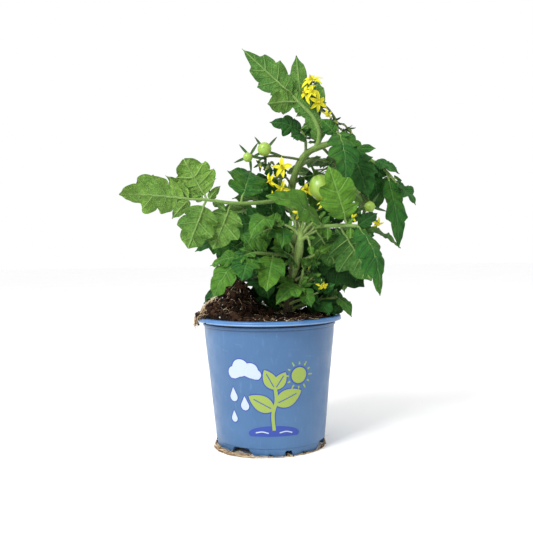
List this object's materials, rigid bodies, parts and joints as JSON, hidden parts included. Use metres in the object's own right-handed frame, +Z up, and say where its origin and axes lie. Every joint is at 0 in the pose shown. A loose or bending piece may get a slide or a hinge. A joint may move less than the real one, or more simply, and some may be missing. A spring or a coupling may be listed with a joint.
{
  "type": "potted tomato plant",
  "caption": "Young tomato plant with compound leaves, yellow flowers and small green fruit, growing in soil in a blue plastic nursery pot with a print on its front.",
  "frame": {"origin": "centre of the flat middle of the pot's underside, on the surface that the pot stands on", "axes": "+Z up along the pot's axis, -Y towards the side with the print on the pot, +X to the right as seen from there"},
  "size_m": [0.2711, 0.197, 0.36],
  "materials": {
    "pot_plastic": "soft satin blue injection-moulded plastic with faint turning marks and a screen print",
    "potting_soil": "dark crumbly peat with pale fibres and a few white grains",
    "root": "dry pale beige roots",
    "stem": "pale green, covered with short white hairs",
    "truss": "pale green hairy flower stalks and sepals",
    "leaf": "matt green leaf, darker and bluish above and paler yellow green below, with raised veins",
    "petal": "bright yellow, thin and matt",
    "fruit": "smooth pale green skin with a soft shine"
  },
  "bodies": {
    "root": {"pot": "pot_plastic", "soil": "potting_soil", "roots": "root", "stem": "stem", "fruit_left_1": "fruit", "fruit_left_2": "fruit", "bloom_middle_1": "petal", "bloom_middle_2": "petal", "bloom_middle_3": "petal", "bloom_top_1": "petal", "bloom_top_2": "petal", "bloom_top_3": "petal", "bloom_top_4": "petal", "fruit_right_1": "fruit", "fruit_right_2": "fruit", "fruit_right_3": "fruit", "bloom_right_1": "petal", "bloom_behind_1": "petal", "bloom_front_1": "petal", "bloom_front_2": "petal", "bloom_low_1": "petal", "truss_left": "truss", "truss_middle": "truss", "truss_top": "truss", "truss_right": "truss", "truss_behind": "truss", "truss_front": "truss", "truss_low": "truss", "frond_left": "leaf", "frond_top": "leaf", "frond_top_dark": "leaf", "frond_crest": "leaf", "frond_right": "leaf", "frond_front_right": "leaf", "frond_front_left": "leaf", "frond_low_left": "leaf", "frond_shoot_low": "leaf", "frond_low_right": "leaf", "frond_rim_right": "leaf", "frond_behind_left": "leaf", "frond_middle_left": "leaf", "frond_low_behind": "leaf", "frond_behind_right": "leaf", "frond_back_high": "leaf", "frond_back_left": "leaf", "frond_back_right": "leaf", "frond_low_back": "leaf"}
  },
  "joints": []
}
